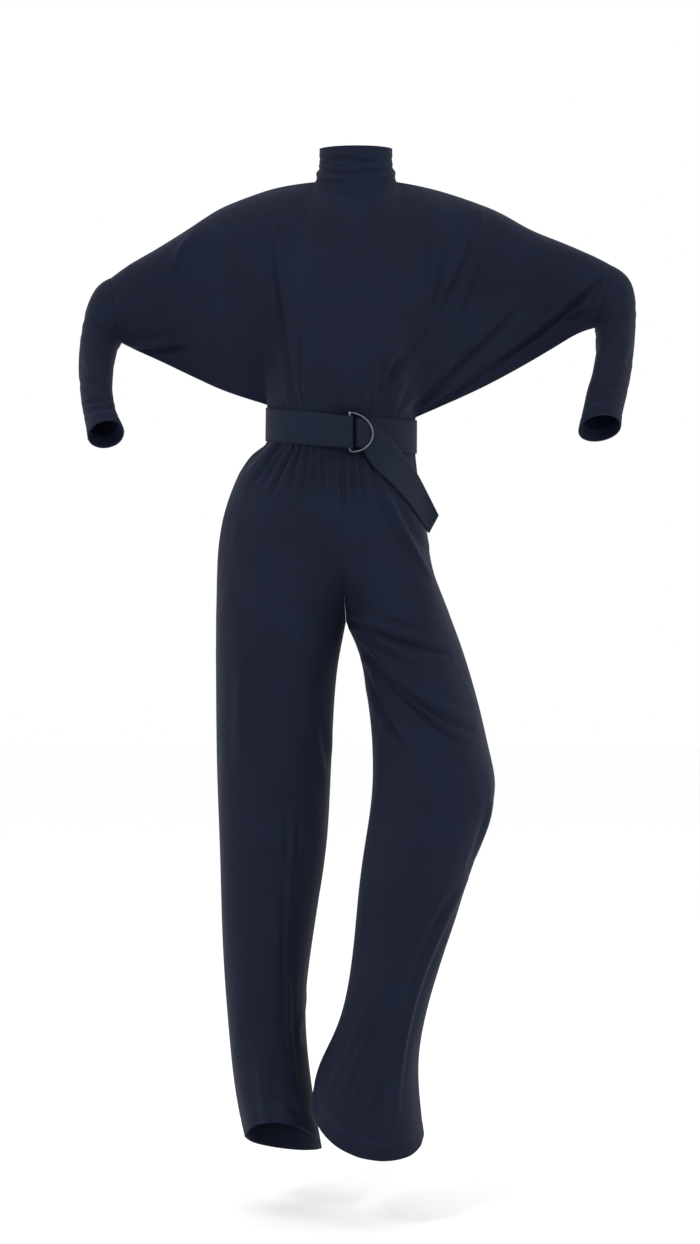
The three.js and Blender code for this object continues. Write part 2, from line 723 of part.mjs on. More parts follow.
const trouserFolds = {
  right: foldLines(
    table(
      "x z toX toZ bow width depth",
      [-171, -700, -171, -880, 0, 22, 3.5],
      [-112, -398, -150, -450, 0, 9, -3],
      [-97, -400, -134, -446, 0, 8, -2.5],
      [-50, -800, -42, -880, 0, 12, 3],
      [-102, -935, -104, -1010, 0, 12, -3],
      [-94, -985, -94, -1190, 0, 13, 4],
      [-98, -1200, -92, -1355, 0.06, 12, 5],
      [-74, -1240, -84, -1310, -0.1, 12, -4],
      [-150, -1150, -140, -1370, 0, 24, -3],
    ),
  ),
  left: foldLines(
    table(
      "x z toX toZ bow width depth",
      [20, -640, 136, -692, 0.06, 15, -3.5],
      [8, -660, 95, -712, -0.04, 15, 2.5],
      [14, -690, 160, -790, -0.1, 13, -6],
      [20, -702, 78, -830, -0.06, 14, 5],
      [40, -455, 110, -578, -0.05, 13, 4],
      [204, -905, 180, -985, 0, 13, 4],
      [172, -1000, 88, -1190, -0.05, 14, 4.5],
      [88, -1195, 60, -1370, -0.06, 13, 5],
      [60, -1140, -30, -1320, 0.08, 15, 5],
      [30, -1180, 20, -1390, 0, 20, -4],
    ),
  ),
};

const seatFolds = {
  right: foldLines(
    table(
      "x z toX toZ bow width depth",
      [-40, -640, -150, -700, 0.06, 14, -5],
      [-60, -405, -110, -480, 0, 12, -4],
      [-110, -760, -108, -1050, 0.02, 22, -5],
      [-80, -1060, -110, -1330, 0.05, 18, -5],
      [-165, -1130, -150, -1390, 0.04, 16, 4],
    ),
  ),
  left: foldLines(
    table(
      "x z toX toZ bow width depth",
      [20, -640, 125, -680, 0.06, 14, -5],
      [20, -405, 60, -480, 0, 12, -4],
      [60, -860, 170, -905, 0.1, 15, -6],
      [50, -905, 150, -955, 0.1, 14, -5],
      [70, -980, 40, -1230, 0.04, 20, -5],
      [30, -1190, 40, -1370, 0, 18, 4],
    ),
  ),
};

const GATHER_TOP = -386;
const GATHER_FULL = -412;
const GATHER_END = -560;
function gatherTrousers(z, column, columns) {
  const grow = smooth((GATHER_TOP - z) / (GATHER_TOP - GATHER_FULL));
  const fade = smooth((z - GATHER_END) / (GATHER_FULL - GATHER_END));
  const uneven = 0.7 + 0.3 * sin(column * 1.9);
  const inside = column > 0 && column < columns;
  return inside ? GATHER.trousers * grow * fade * uneven * (column % 2 ? 1 : -1) : 0;
}

function trouserSheet(leg, side) {
  const columns = side < 0 ? TROUSER_FRONT_COLUMNS : TROUSER_BACK_COLUMNS;
  const folds = (side < 0 ? trouserFolds : seatFolds)[leg];
  const facing = (side < 0 ? 1 : -1) * (leg === "left" ? 1 : -1);
  const sheet = makeSheet(
    TROUSER_ROWS,
    columns,
    (r, c) => trouserPoint(leg, side, r, c / columns),
    facing,
  );
  pushOut(sheet, (point, r, c) => {
    if (r <= 1) return 0;
    const nearRim = smooth(min(c, columns - c) / 1.6);
    return foldHeight(folds, point.x, point.z) * nearRim + gatherTrousers(rowHeights[r], c, columns);
  });
  return sheet;
}

const trousers = {};
for (const leg of ["right", "left"]) {
  trousers[leg] = { front: trouserSheet(leg, -1), back: trouserSheet(leg, 1) };
}
const seamRows = columnEdge(0, 0, CROTCH_ROW);
const innerRows = columnEdge(0, CROTCH_ROW, TROUSER_ROWS);
for (const face of ["front", "back"]) {
  joinNormals([trousers.right[face], seamRows], [trousers.left[face], seamRows]);
}
for (const leg of ["right", "left"]) {
  const { front, back } = trousers[leg];
  const outerFront = columnEdge(TROUSER_FRONT_COLUMNS, 0, TROUSER_ROWS);
  const outerBack = columnEdge(TROUSER_BACK_COLUMNS, 0, TROUSER_ROWS);
  joinNormals([front, outerFront], [back, outerBack]);
  joinNormals([front, innerRows.slice(1)], [back, innerRows.slice(1)]);
}
for (const leg of ["right", "left"]) {
  for (const face of ["front", "back"]) trousers[leg][face].normals[CROTCH_ROW][0].set(0, 0, -1);
}
for (const leg of ["right", "left"]) {
  const outward = vector(leg === "right" ? -1 : 1, 0, 0);
  for (const [face, away] of [["front", FRONT], ["back", BACK]]) {
    const sheet = trousers[leg][face];
    const outerEdge = columnEdge(sheet.columns, 0, TROUSER_ROWS);
    squareNormals(sheet, rowEdge(0, 0, sheet.columns), waistAxis);
    openSeam(sheet, outerEdge, away);
    openSeam(sheet, innerRows, away);
    openSeam(sheet, seamRows, outward);
    openSeam(sheet, rowEdge(0, 0, sheet.columns), waistAxis.clone().negate());
    add(`trouser_${face}_${leg}`, wallGeometry(sheet), jersey);
  }
}

// Belt. A place on it is a distance along the waist from the middle of the rings (to the wearer's
// left) and a distance out from the waist seam.
const RING_ANGLE = -PI / 2 + 0.25;
const WAIST_STEPS = 720;
const waistTable = [];
{
  let length = 0;
  let before = waistPoint(RING_ANGLE);
  for (let i = 0; i <= WAIST_STEPS; i += 1) {
    const angle = RING_ANGLE + (2 * PI * i) / WAIST_STEPS;
    const point = waistPoint(angle);
    length += hypot(point.x - before.x, point.y - before.y);
    waistTable.push({ length, angle });
    before = point;
  }
}
const BELT_ROUND = waistTable[WAIST_STEPS].length;
function waistAngle(along) {
  const place = ((along % BELT_ROUND) + BELT_ROUND) % BELT_ROUND;
  let i = 1;
  while (i < WAIST_STEPS && waistTable[i].length < place) i += 1;
  const [low, high] = [waistTable[i - 1], waistTable[i]];
  return mix(low.angle, high.angle, (place - low.length) / (high.length - low.length));
}
function beltPlace(along, out, above = 0) {
  const angle = waistAngle(along);
  const point = waistPoint(angle);
  const normal = vector(cos(angle) / WAIST.halfWidth, sin(angle) / WAIST.halfDepth, 0).normalize();
  point.addScaledVector(normal, out);
  return vector(point.x, point.y, waistHeight(point.x, point.y) + above);
}

// The strip's middle line: a loop round the two bars, the way round the waist, in through both rings,
// and back over the inner ring and under the outer one
const LOOP_ROUND = { along: -17, out: 7.7, radius: 4.9 };
const TURN_BACK = { along: -3, out: 4.9, radius: 3.1 };
const BAND_OUT = 1.75;
const loopStart = table(
  "along out half",
  [-50, 1.75, 22],
  [-34, 2.2, 22.5],
  [-24, 2.8, 23],
);
const loopEnd = table(
  "along out half",
  [-24, 12, 23.5],
  [-36, 8.8, 24],
  [-50, 5.6, 24.5],
  [-66, 2.8, 25],
);
const bandIn = table(
  "along out half",
  [40, BAND_OUT, 25],
  [26, BAND_OUT, 24],
  [12, BAND_OUT, 22.5],
  [3, BAND_OUT, 21.5],
);
const BAND_STEPS = 40;
const ROUND_STEPS = 6;

function halfRound(round, from) {
  const rows = [];
  for (let i = 0; i <= ROUND_STEPS; i += 1) {
    const angle = -PI / 2 + (PI * i) / ROUND_STEPS;
    rows.push({
      along: round.along + from * round.radius * cos(angle),
      out: round.out + round.radius * sin(angle),
      half: from > 0 ? 23 : 21,
    });
  }
  return rows;
}

const band = [];
for (let i = 1; i < BAND_STEPS; i += 1) {
  band.push({ along: mix(-66, 40 - BELT_ROUND, i / BAND_STEPS), out: BAND_OUT, half: BELT_HEIGHT / 2 });
}
const beltLine = [
  ...loopStart,
  ...halfRound(LOOP_ROUND, 1),
  ...loopEnd,
  ...band,
  ...bandIn,
  ...halfRound(TURN_BACK, -1),
].map(({ along, out, half }) => ({
  upper: beltPlace(along, out, half),
  lower: beltPlace(along, out, -half),
}));

// The free end, from between the rings: its edges slant down over the left hip
const tailEdges = table(
  "upX upY upZ lowX lowY lowZ",
  [4, -97.7, -349, 4, -97.8, -392],
  [12, -95.8, -350, 9, -96.3, -393.5],
  [20, -94.9, -351.5, 12.5, -96.6, -401],
  [28, -92, -357, 17, -97.2, -409],
  [38, -86, -366, 23, -101, -418],
  [50, -78, -378, 33, -104, -428.5],
  [61, -70, -391, 45, -101.5, -439],
  [74, -60, -406, 58, -93, -452],
  [86, -50, -422, 73, -83, -468.5],
  [96, -43, -438, 87, -71, -485.5],
  [109, -37, -463, 100, -55, -505],
  [123, -38, -490, 108, -47, -516],
);
for (const edge of tailEdges) {
  beltLine.push({
    upper: vector(edge.upX, edge.upY, edge.upZ),
    lower: vector(edge.lowX, edge.lowY, edge.lowZ),
  });
}

const beltSheet = makeSheet(
  BELT_ROWS,
  beltLine.length - 1,
  (r, c) => beltLine[c].upper.clone().lerp(beltLine[c].lower, r / BELT_ROWS),
  1,
);
beltSheet.points.forEach((line, r) =>
  line.forEach((point, c) => point.addScaledVector(beltSheet.normals[r][c], BELT_CLOTH / 2)),
);
add("belt", wallGeometry(beltSheet, BELT_CLOTH), sashJersey);

// A D-ring lies in a plane that holds its bar and leans out by the given angle
function ringGeometry(out, lean) {
  const origin = beltPlace(0, out);
  const along = beltPlace(1, out).sub(beltPlace(-1, out)).setZ(0).normalize();
  const normal = vector(along.y, -along.x, 0);
  const tilt = THREE.MathUtils.degToRad(lean);
  const barAlong = -RING.depth / 2;
  const centre = [];
  const half = RING.height / 2;
  const steps = RING.arcSteps + RING.barSteps;
  for (let i = 0; i < steps; i += 1) {
    const onBar = i >= RING.arcSteps;
    const angle = -PI / 2 + (PI * i) / RING.arcSteps;
    const reach = onBar ? 0 : RING.depth * cos(angle);
    const height = onBar ? mix(half, -half, (i - RING.arcSteps) / RING.barSteps) : half * sin(angle);
    const point = origin.clone();
    point.addScaledVector(along, barAlong + reach * cos(tilt));
    point.addScaledVector(normal, reach * sin(tilt));
    centre.push(point.addScaledVector(UP, height + waistDrop(origin, point)));
  }
  const across = normal.clone();
  const positions = [];
  const index = [];
  centre.forEach((point, i) => {
    const before = centre[(i + steps - 1) % steps];
    const after = centre[(i + 1) % steps];
    const forward = after.clone().sub(before).normalize();
    const inPlane = forward.clone().cross(across).normalize();
    const upright = inPlane.clone().cross(forward).normalize();
    for (let j = 0; j < RING.sides; j += 1) {
      const turn = (2 * PI * j) / RING.sides;
      const place = point.clone().addScaledVector(inPlane, RING.wire * cos(turn));
      positions.push(...place.addScaledVector(upright, RING.wire * sin(turn)).toArray());
      const next = (j + 1) % RING.sides;
      const [a, b] = [i * RING.sides, ((i + 1) % steps) * RING.sides];
      index.push(a + j, b + j, a + next, a + next, b + j, b + next);
    }
  });
  const geometry = new THREE.BufferGeometry();
  geometry.setAttribute("position", new THREE.Float32BufferAttribute(positions, 3));
  geometry.setIndex(index);
  geometry.computeVertexNormals();
  return geometry;
}
function waistDrop(from, to) {
  return waistHeight(to.x, to.y) - waistHeight(from.x, from.y);
}
add("d_ring_inner", ringGeometry(4.9, 0), ringMetal);
add("d_ring_outer", ringGeometry(8.3, 8), ringMetal);

export default garment;
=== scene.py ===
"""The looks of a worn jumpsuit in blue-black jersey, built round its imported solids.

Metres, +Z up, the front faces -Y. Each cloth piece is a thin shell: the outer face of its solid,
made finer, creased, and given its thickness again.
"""

import math

import bmesh
import bpy
import numpy as np
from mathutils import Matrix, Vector, noise
from mathutils.bvhtree import BVHTree
from mathutils.kdtree import KDTree


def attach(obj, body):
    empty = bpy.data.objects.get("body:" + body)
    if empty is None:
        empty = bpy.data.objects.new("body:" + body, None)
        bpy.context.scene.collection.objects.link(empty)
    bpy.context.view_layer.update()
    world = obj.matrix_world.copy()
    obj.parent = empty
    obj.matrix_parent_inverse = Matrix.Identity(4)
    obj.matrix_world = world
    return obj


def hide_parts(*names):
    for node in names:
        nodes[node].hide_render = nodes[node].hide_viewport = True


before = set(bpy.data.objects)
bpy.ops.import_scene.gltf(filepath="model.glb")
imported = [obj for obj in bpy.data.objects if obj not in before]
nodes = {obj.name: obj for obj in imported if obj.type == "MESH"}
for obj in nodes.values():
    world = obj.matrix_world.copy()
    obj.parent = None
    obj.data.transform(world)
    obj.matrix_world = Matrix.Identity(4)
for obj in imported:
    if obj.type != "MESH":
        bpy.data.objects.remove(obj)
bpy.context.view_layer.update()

MM = 0.001

# The solids' wall, the shells' thickness, and how often the shells and the other solids are divided
WALL = 1.6 * MM
JERSEY_THICK = 1.3 * MM
FINENESS = 3
SOLID_FINENESS = 2

# How near two points are to be one, and how far a side across the wall may be from its thickness
WELD = 0.02 * MM
WALL_SLACK = 0.03 * MM

# Angles in degrees: up to which bend and skew triangles are joined into squares, from which bend
# the outline of a cut has a corner, and from which an edge of cloth or of a solid isn't shaded soft
QUAD_BEND, QUAD_SKEW = 60, 70
CUT_CORNER = 35
CLOTH_EDGE, SOLID_EDGE = 60, 50

# Easing: its rounds, its step in and step back out, and over how many millimetres the rim holds it
RELAX_ROUNDS = 8
RELAX_RATES = (0.5, -0.53)
RELAX_FADE = 30

# Turned-up hems: how far above the edge their twin needle seam runs, how far apart its rows are,
# and how deep and how wide it draws the cloth in, in millimetres
HEM_SEAM = {"trouser": 26, "sleeve": 20}
TWIN_GAP = 4.4
HEM_DIP, HEM_DIP_WIDTH = 0.6, 3.2
NO_HEM = 1000

# How long a stitch is, and how high it stands as a multiple of the knit
STITCH = 3.2 * MM
STITCH_RISE = 1.6

# Edges nearer than this to another piece are sewn to it, and folds fade out before them
SEAM_REACH = 5 * MM
SEAM_FADE = 12

# The waist in millimetres: its middle, how far it dips for each millimetre towards +X and towards
# the front, half the belt's height, and the radius round which the belt's knit is laid
WAIST_X, WAIST_Z = -22, -361
SIDE_DIP, FRONT_DIP = 0.085, 0.08
BELT_HALF = 25
BELT_RADIUS = 100

# Unevenness of hanging cloth: how large its waves are, how deep, and what is added to the seed
WAVES = ((46, 1.5, 0), (19, 0.5, 5))
BELT_WAVES = (34, 0.9, 31)

# A band texture at this scale has waves one unit long
BAND_UNIT = 0.314

# Folds of each panel, in millimetres in the front view: from x, z, to x, z, how far it bows to one
# side as a share of its length, half its width, and its depth, below 0 for a trough, above for a ridge
FOLD_STEPS = 13
FOLDS = {
    "bodice_front": [
        (-132, -48, -91, -328, 0.00, 4.9, -6.5),
        (-144, -37, -125, -176, 0.01, 4.9, -2.8),
        (-113, -59, -110, -92, 0.00, 5, -2.8),
        (-94, -232, -86, -334, 0.00, 4, -4.9),
        (-84, -212, -80, -334, 0.00, 4, -4.5),
        (-103, -250, -92, -334, 0.00, 4, -3.2),
        (-241, -73, -273, -128, -0.06, 6.6, 4.5),
        (-348, -230, -272, -224, -0.11, 4.9, 5.3),
        (-340, -237, -262, -238, -0.05, 5, -4.9),
        (-292, -243, -244, -240, 0.00, 5, -4.5),
        (72, -344, 247, -179, 0.00, 5.4, -7.8),
        (86, -342, 380, -128, -0.03, 5, -10.0),
        (100, -322, 340, -172, -0.04, 4.9, 4.5),
        (148, -217, 188, -111, 0.00, 4.9, -4.5),
        (26, -318, 114, -205, 0.00, 5, -4.9),
        (17, -346, 26, -318, 0.00, 4, -3.2),
        (114, -203, 176, -72, -0.03, 4.9, -5.7),
        (108, -204, 136, -79, -0.01, 5, -4.1),
        (104, -159, 111, -71, 0.00, 5, -3.2),
        (23, -246, 20, -330, 0.00, 4, -2.0),
        (45, -257, 30, -330, 0.00, 4, -3.6),
        (27, -347, 76, -234, -0.01, 5, -4.5),
        (60, -340, 98, -262, 0.00, 5, -3.2),
        (184, -33, 184, -64, 0.00, 6.6, 3.2),
        (344, -176, 362, -152, 0.00, 5, -4.1),
        (300, -206, 356, -186, 0.05, 4.9, -4.1),
        (-30, -270, -34, -338, 0.00, 5, -1.9),
        (-60, -262, -60, -338, 0.00, 5, -2.3),
    ],
    "bodice_back": [
        (-96, -60, -72, -330, 0.03, 5.7, -6.1),
        (-110, -120, -84, -330, 0.02, 4.9, -3.6),
        (-225, -130, -104, -326, -0.05, 6.6, -6.1),
        (-300, -150, -150, -300, -0.04, 5.7, -4.9),
        (-346, -226, -280, -228, -0.1, 4.9, 4.5),
        (-50, -230, -52, -336, 0.00, 5, -4.1),
        (-24, -180, -28, -336, 0.00, 4.9, -3.2),
        (12, -90, 2, -336, 0.02, 6.6, -4.9),
        (34, -220, 24, -338, 0.00, 5, -3.6),
        (118, -60, 58, -338, 0.04, 5.7, -6.1),
        (96, -190, 48, -338, 0.02, 5, -4.1),
        (236, -120, 86, -338, 0.05, 6.6, -6.5),
        (318, -140, 150, -304, 0.05, 5.7, -5.7),
        (270, -196, 350, -176, 0.06, 4.9, -4.1),
    ],
    "trouser_front_right": [
        (-107, -374, -150, -440, 0.00, 4, -5.7),
        (-98, -378, -138, -446, 0.00, 4, -3.4),
        (-89, -380, -126, -462, 0.00, 4, -5.7),
        (-81, -382, -102, -462, 0.00, 4, -4.9),
        (-70, -384, -84, -478, 0.00, 4, -4.2),
        (-60, -384, -66, -474, 0.00, 4, -3.2),
        (-126, -372, -166, -420, 0.02, 5, -3.6),
        (-169, -707, -169, -859, 0.00, 9.8, 2.8),
        (-50, -799, -40, -876, 0.00, 5, -3.0),
        (-101, -934, -101, -1000, 0.00, 4.9, -2.7),
        (-84, -935, -84, -1000, 0.00, 4.9, -2.7),
        (-93, -983, -87, -1351, -0.03, 4.2, 2.8),
        (-103, -1026, -104, -1200, 0.00, 5.7, -2.0),
        (-75, -1229, -72, -1294, -0.20, 4.9, 2.2),
        (-105, -1345, -66, -1401, 0.00, 4.9, -4.5),
        (-144, -1292, -132, -1400, 0.00, 6.6, 3.2),
        (-120, -1290, -118, -1402, 0.00, 6.6, -2.8),
    ],
    "trouser_back_right": [
        (-118, -372, -150, -430, 0.02, 5, -4.9),
        (-96, -362, -112, -440, 0.00, 5, -4.5),
        (-72, -360, -82, -438, 0.00, 5, -4.1),
        (-48, -360, -54, -430, 0.00, 5, -3.6),
        (-34, -650, -150, -706, 0.06, 5.7, -6.1),
        (-34, -672, -128, -748, 0.05, 4.9, -4.5),
        (-120, -770, -116, -1050, 0.02, 7.4, -4.9),
        (-86, -1060, -112, -1330, 0.05, 6.6, -5.3),
        (-166, -1130, -150, -1392, 0.04, 6.6, 4.5),
        (-70, -1190, -92, -1330, -0.06, 5.7, 3.6),
    ],
    "trouser_front_left": [
        (22, -404, 38, -470, -0.02, 4, -2.8),
        (41, -454, 110, -585, -0.02, 5, 5.3),
        (29, -447, 81, -558, -0.03, 4.9, -3.6),
        (56, -462, 116, -560, -0.02, 5, -3.2),
        (-10, -647, 133, -694, -0.03, 4.6, -8.6),
        (4, -640, 120, -672, -0.03, 4.9, 3.2),
        (7, -665, 95, -715, -0.04, 5, -5.3),
        (20, -633, 88, -661, 0.00, 5, -2.8),
        (10, -686, 166, -804, -0.07, 4, -7.6),
        (12, -676, 170, -788, -0.07, 4.9, 3.6),
        (10, -695, 155, -826, -0.04, 4, -7.6),
        (13, -714, 78, -840, -0.04, 4.6, -6.4),
        (22, -730, 60, -800, -0.02, 5, 2.8),
        (48, -761, 110, -821, 0.00, 4.9, -2.8),
        (197, -908, 171, -985, 0.00, 5, 4.5),
        (186, -930, 160, -1010, 0.00, 5, -3.2),
        (160, -1020, 59, -1362, -0.07, 4.2, 3.4),
        (142, -1030, 70, -1200, -0.05, 4.5, -2.6),
        (53, -1133, -38, -1322, -0.01, 4.5, 3.4),
        (68, -1140, -16, -1340, -0.02, 4.9, -3.2),
        (34, -1247, 23, -1420, 0.00, 7.4, -4.1),
        (4, -1300, 2, -1420, 0.00, 6.6, 2.8),
    ],
    "trouser_back_left": [
        (14, -360, 24, -440, 0.00, 5, -4.1),
        (40, -364, 58, -444, 0.00, 5, -4.5),
        (-4, -360, -2, -430, 0.00, 5, -3.6),
        (66, -372, 88, -440, -0.02, 5, -4.5),
        (10, -650, 125, -690, 0.06, 5.7, -6.1),
        (14, -676, 112, -742, 0.05, 4.9, -4.9),
        (56, -858, 176, -902, 0.10, 4.9, -6.9),
        (50, -892, 168, -930, 0.10, 5, -5.7),
        (46, -926, 150, -962, 0.08, 5, -4.5),
        (72, -980, 42, -1230, 0.04, 6.6, -5.7),
        (110, -1040, 60, -1330, -0.04, 6.6, 4.9),
        (20, -1190, 30, -1400, 0.00, 6.6, 4.1),
    ],
    "sleeve_right": [
        (-406, -196, -366, -236, 0.10, 4.9, -4.1),
        (-410, -216, -372, -252, 0.10, 5, -2.8),
        (-408, -296, -372, -304, 0.06, 5, -3.2),
        (-398, -336, -356, -326, 0.08, 4, -3.6),
        (-396, -346, -350, -338, 0.08, 4, -3.2),
        (-404, -250, -384, -290, 0.04, 5.7, 2.4),
    ],
    "sleeve_left": [
        (416, -180, 372, -212, -0.10, 4.9, -4.1),
        (414, -198, 366, -232, -0.10, 5, -2.8),
        (408, -262, 360, -276, -0.06, 5, -2.8),
        (398, -306, 344, -316, -0.06, 4, -2.8),
        (404, -230, 388, -280, -0.04, 5.7, 2.4),
    ],
    "collar": [
        (-52, 42, 52, 44, -0.04, 3, -1.0),
        (-50, 33, 46, 27, 0.05, 3, -2.0),
        (-30, 22, 50, 34, 0.05, 3, -1.8),
        (-54, 18, 54, 22, -0.04, 4, -2.0),
        (-54, 8, 54, 14, -0.08, 3, -1.5),
        (-40, 1, 48, 5, -0.06, 3, -1.2),
    ],
}

# Pleats that run down beside the centre-front seam, on both of the trousers' fronts
CENTRE_PLEATS = [
    (-48, -390, -49, -486, 0.00, 4, -3.4),
    (-36, -392, -37, -470, 0.00, 4, -3.0),
    (-19, -394, -18, -494, 0.00, 4, -3.8),
    (-5, -394, -2, -480, 0.00, 4, -3.8),
    (7, -394, 17, -490, -0.02, 4, -4.5),
]
FOLDS["trouser_front_right"] += CENTRE_PLEATS
FOLDS["trouser_front_left"] += CENTRE_PLEATS

# The centre-front seam, where the folds don't fade: its x, how far beside it that holds, its low end
CENTRE_X, CENTRE_REACH, CENTRE_LOW = -21, 6, -560

# How each side of a panel gathers under the belt: how many pleats to a turn, their depth and reach
GATHERS = {
    "bodice_front": (58, 2.6, 95),
    "bodice_back": (52, 3.0, 120),
    "trouser_front_right": (62, 3.2, 110),
    "trouser_front_left": (62, 2.8, 100),
    "trouser_back_right": (54, 3.0, 130),
    "trouser_back_left": (54, 3.0, 130),
}


def linear(colour):
    """An sRGB hex value as the linear colour that a shader takes"""
    parts = [int(colour[i : i + 2], 16) / 255 for i in (1, 3, 5)]
    return [c / 12.92 if c <= 0.04045 else ((c + 0.055) / 1.055) ** 2.4 for c in parts] + [1]


def add_node(material, kind, links=None, values=None, **settings):
    """Adds a node; links go from another node's output to an input of this one"""
    tree = material.node_tree
    made = tree.nodes.new(kind)
    for name, value in settings.items():
        setattr(made, name, value)
    for socket, value in (values or {}).items():
        made.inputs[socket].default_value = value
    for socket, output in (links or {}).items():
        tree.links.new(output, made.inputs[socket])
    return made


def new_material(name):
    material = bpy.data.materials.new(name)
    material.use_nodes = True
    material.node_tree.nodes.clear()
    return material


def finish_material(material, shader):
    add_node(material, "ShaderNodeOutputMaterial", links={"Surface": shader.outputs["BSDF"]})
    return material


def hem_stitches(material, place):
    """1 on the stitches of a hem's two needle rows, from how far each point is from the rows' middle"""
    off = add_node(material, "ShaderNodeAttribute", attribute_name="off_hem_seam")
    away = add_node(material, "ShaderNodeMath", links={0: off.outputs["Fac"]}, operation="ABSOLUTE")
    beside = add_node(
        material,
        "ShaderNodeMath",
        links={0: away.outputs[0]},
        values={1: TWIN_GAP / 2},
        operation="SUBTRACT",
    )
    from_row = add_node(material, "ShaderNodeMath", links={0: beside.outputs[0]}, operation="ABSOLUTE")
    # A row is drawn in full to 0.4 mm on either side, and is gone at 0.8 mm
    row = add_node(
        material,
        "ShaderNodeMapRange",
        links={"Value": from_row.outputs[0]},
        values={"From Min": 0.4, "From Max": 0.8, "To Min": 1, "To Max": 0},
    )
    around = add_node(material, "ShaderNodeSeparateXYZ", links={0: place.outputs["UV"]})
    turn = add_node(
        material,
        "ShaderNodeMath",
        links={0: around.outputs["X"]},
        values={1: 2 * math.pi / STITCH},
        operation="MULTIPLY",
    )
    beat = add_node(material, "ShaderNodeMath", links={0: turn.outputs[0]}, operation="SINE")
    thread = add_node(
        material,
        "ShaderNodeMapRange",
        links={"Value": beat.outputs[0]},
        values={"From Min": -0.6, "From Max": -0.2},
    )
    return add_node(
        material,
        "ShaderNodeMath",
        links={0: row.outputs["Result"], 1: thread.outputs["Result"]},
        operation="MULTIPLY",
    )


def knitted_jersey(name, dark, light, wale, roughness):
    """Viscose jersey, a fine single knit: matt, with soft columns of stitches and a faint bloom"""
    jersey = new_material(name)
    place = add_node(jersey, "ShaderNodeUVMap", uv_map="cloth")
    sized = add_node(
        jersey,
        "ShaderNodeMapping",
        links={"Vector": place.outputs["UV"]},
        values={"Scale": (1 / wale, 1 / wale, 1)},
    )
    columns = add_node(
        jersey,
        "ShaderNodeTexWave",
        links={"Vector": sized.outputs["Vector"]},
        values={"Scale": BAND_UNIT, "Distortion": 0.6, "Detail": 1, "Detail Scale": 0.5},
        wave_type="BANDS",
        bands_direction="X",
    )
    stitches = add_node(
        jersey,
        "ShaderNodeTexWave",
        links={"Vector": sized.outputs["Vector"]},
        values={"Scale": 0.45, "Distortion": 1.2, "Detail": 1, "Detail Scale": 0.5},
        wave_type="BANDS",
        bands_direction="Y",
    )
    where = add_node(jersey, "ShaderNodeTexCoord")
    cloud = add_node(
        jersey,
        "ShaderNodeTexNoise",
        links={"Vector": where.outputs["Object"]},
        values={"Scale": 9, "Detail": 3, "Roughness": 0.55},
    )
    fuzz = add_node(
        jersey,
        "ShaderNodeTexNoise",
        links={"Vector": where.outputs["Object"]},
        values={"Scale": 420, "Detail": 2, "Roughness": 0.6},
    )
    knit = add_node(
        jersey,
        "ShaderNodeMath",
        links={0: columns.outputs["Fac"], 1: stitches.outputs["Fac"]},
        operation="MULTIPLY",
    )
    height = add_node(
        jersey,
        "ShaderNodeMath",
        links={0: knit.outputs[0], 1: fuzz.outputs["Fac"]},
        operation="ADD",
    )
    shade = add_node(
        jersey,
        "ShaderNodeMath",
        links={0: cloud.outputs["Fac"], 1: fuzz.outputs["Fac"]},
        operation="MULTIPLY",
    )
    stitched = hem_stitches(jersey, place)
    colour = add_node(jersey, "ShaderNodeValToRGB", links={"Fac": shade.outputs[0]})
    colour.color_ramp.elements[0].position = 0.1
    colour.color_ramp.elements[0].color = linear(dark)
    colour.color_ramp.elements[1].position = 0.45
    colour.color_ramp.elements[1].color = linear(light)
    raised = add_node(
        jersey,
        "ShaderNodeMath",
        links={0: stitched.outputs[0], 2: height.outputs[0]},
        values={1: STITCH_RISE},
        operation="MULTIPLY_ADD",
    )
    bump = add_node(
        jersey,
        "ShaderNodeBump",
        links={"Height": raised.outputs[0]},
        values={"Strength": 0.22, "Distance": 0.25 * MM},
    )
    # A colour mix takes its two colours at inputs 6 and 7, and gives the result at output 2
    threaded = add_node(
        jersey,
        "ShaderNodeMix",
        links={"Factor": stitched.outputs[0], 6: colour.outputs["Color"]},
        values={7: linear("#1a2236")},
        data_type="RGBA",
    )
    shader = add_node(
        jersey,
        "ShaderNodeBsdfPrincipled",
        links={"Base Color": threaded.outputs[2], "Normal": bump.outputs["Normal"]},
        values={
            "Roughness": roughness,
            "Specular IOR Level": 0.12,
            "Sheen Weight": 0.06,
            "Sheen Roughness": 0.5,
            "Sheen Tint": linear("#8f9ac8"),
        },
    )
    return finish_material(jersey, shader)


def plated_wire(name):
    """Steel wire, bent and nickel plated: a satin grey metal, faintly streaked along the wire"""
    metal = new_material(name)
    where = add_node(metal, "ShaderNodeTexCoord")
    streaks = add_node(
        metal,
        "ShaderNodeTexNoise",
        links={"Vector": where.outputs["Object"]},
        values={"Scale": 900, "Detail": 2},
    )
    spread = add_node(
        metal,
        "ShaderNodeMapRange",
        links={"Value": streaks.outputs["Fac"]},
        values={"To Min": 0.32, "To Max": 0.46},
    )
    bump = add_node(
        metal,
        "ShaderNodeBump",
        links={"Height": streaks.outputs["Fac"]},
        values={"Strength": 0.06, "Distance": 0.05 * MM},
    )
    shader = add_node(
        metal,
        "ShaderNodeBsdfPrincipled",
        links={"Roughness": spread.outputs["Result"], "Normal": bump.outputs["Normal"]},
        values={"Base Color": linear("#5d626c"), "Metallic": 1.0},
    )
    return finish_material(metal, shader)


# The real wales are about 0.7 mm apart; drawn at 1.4 mm, they can be seen close by
jersey = knitted_jersey("viscose_jersey", "#0a0f1f", "#11182a", 1.4 * MM, 0.8)
sash = knitted_jersey("pressed_double_jersey", "#0c1220", "#141b2d", 1.4 * MM, 0.76)
wire = plated_wire("nickel_plated_wire")


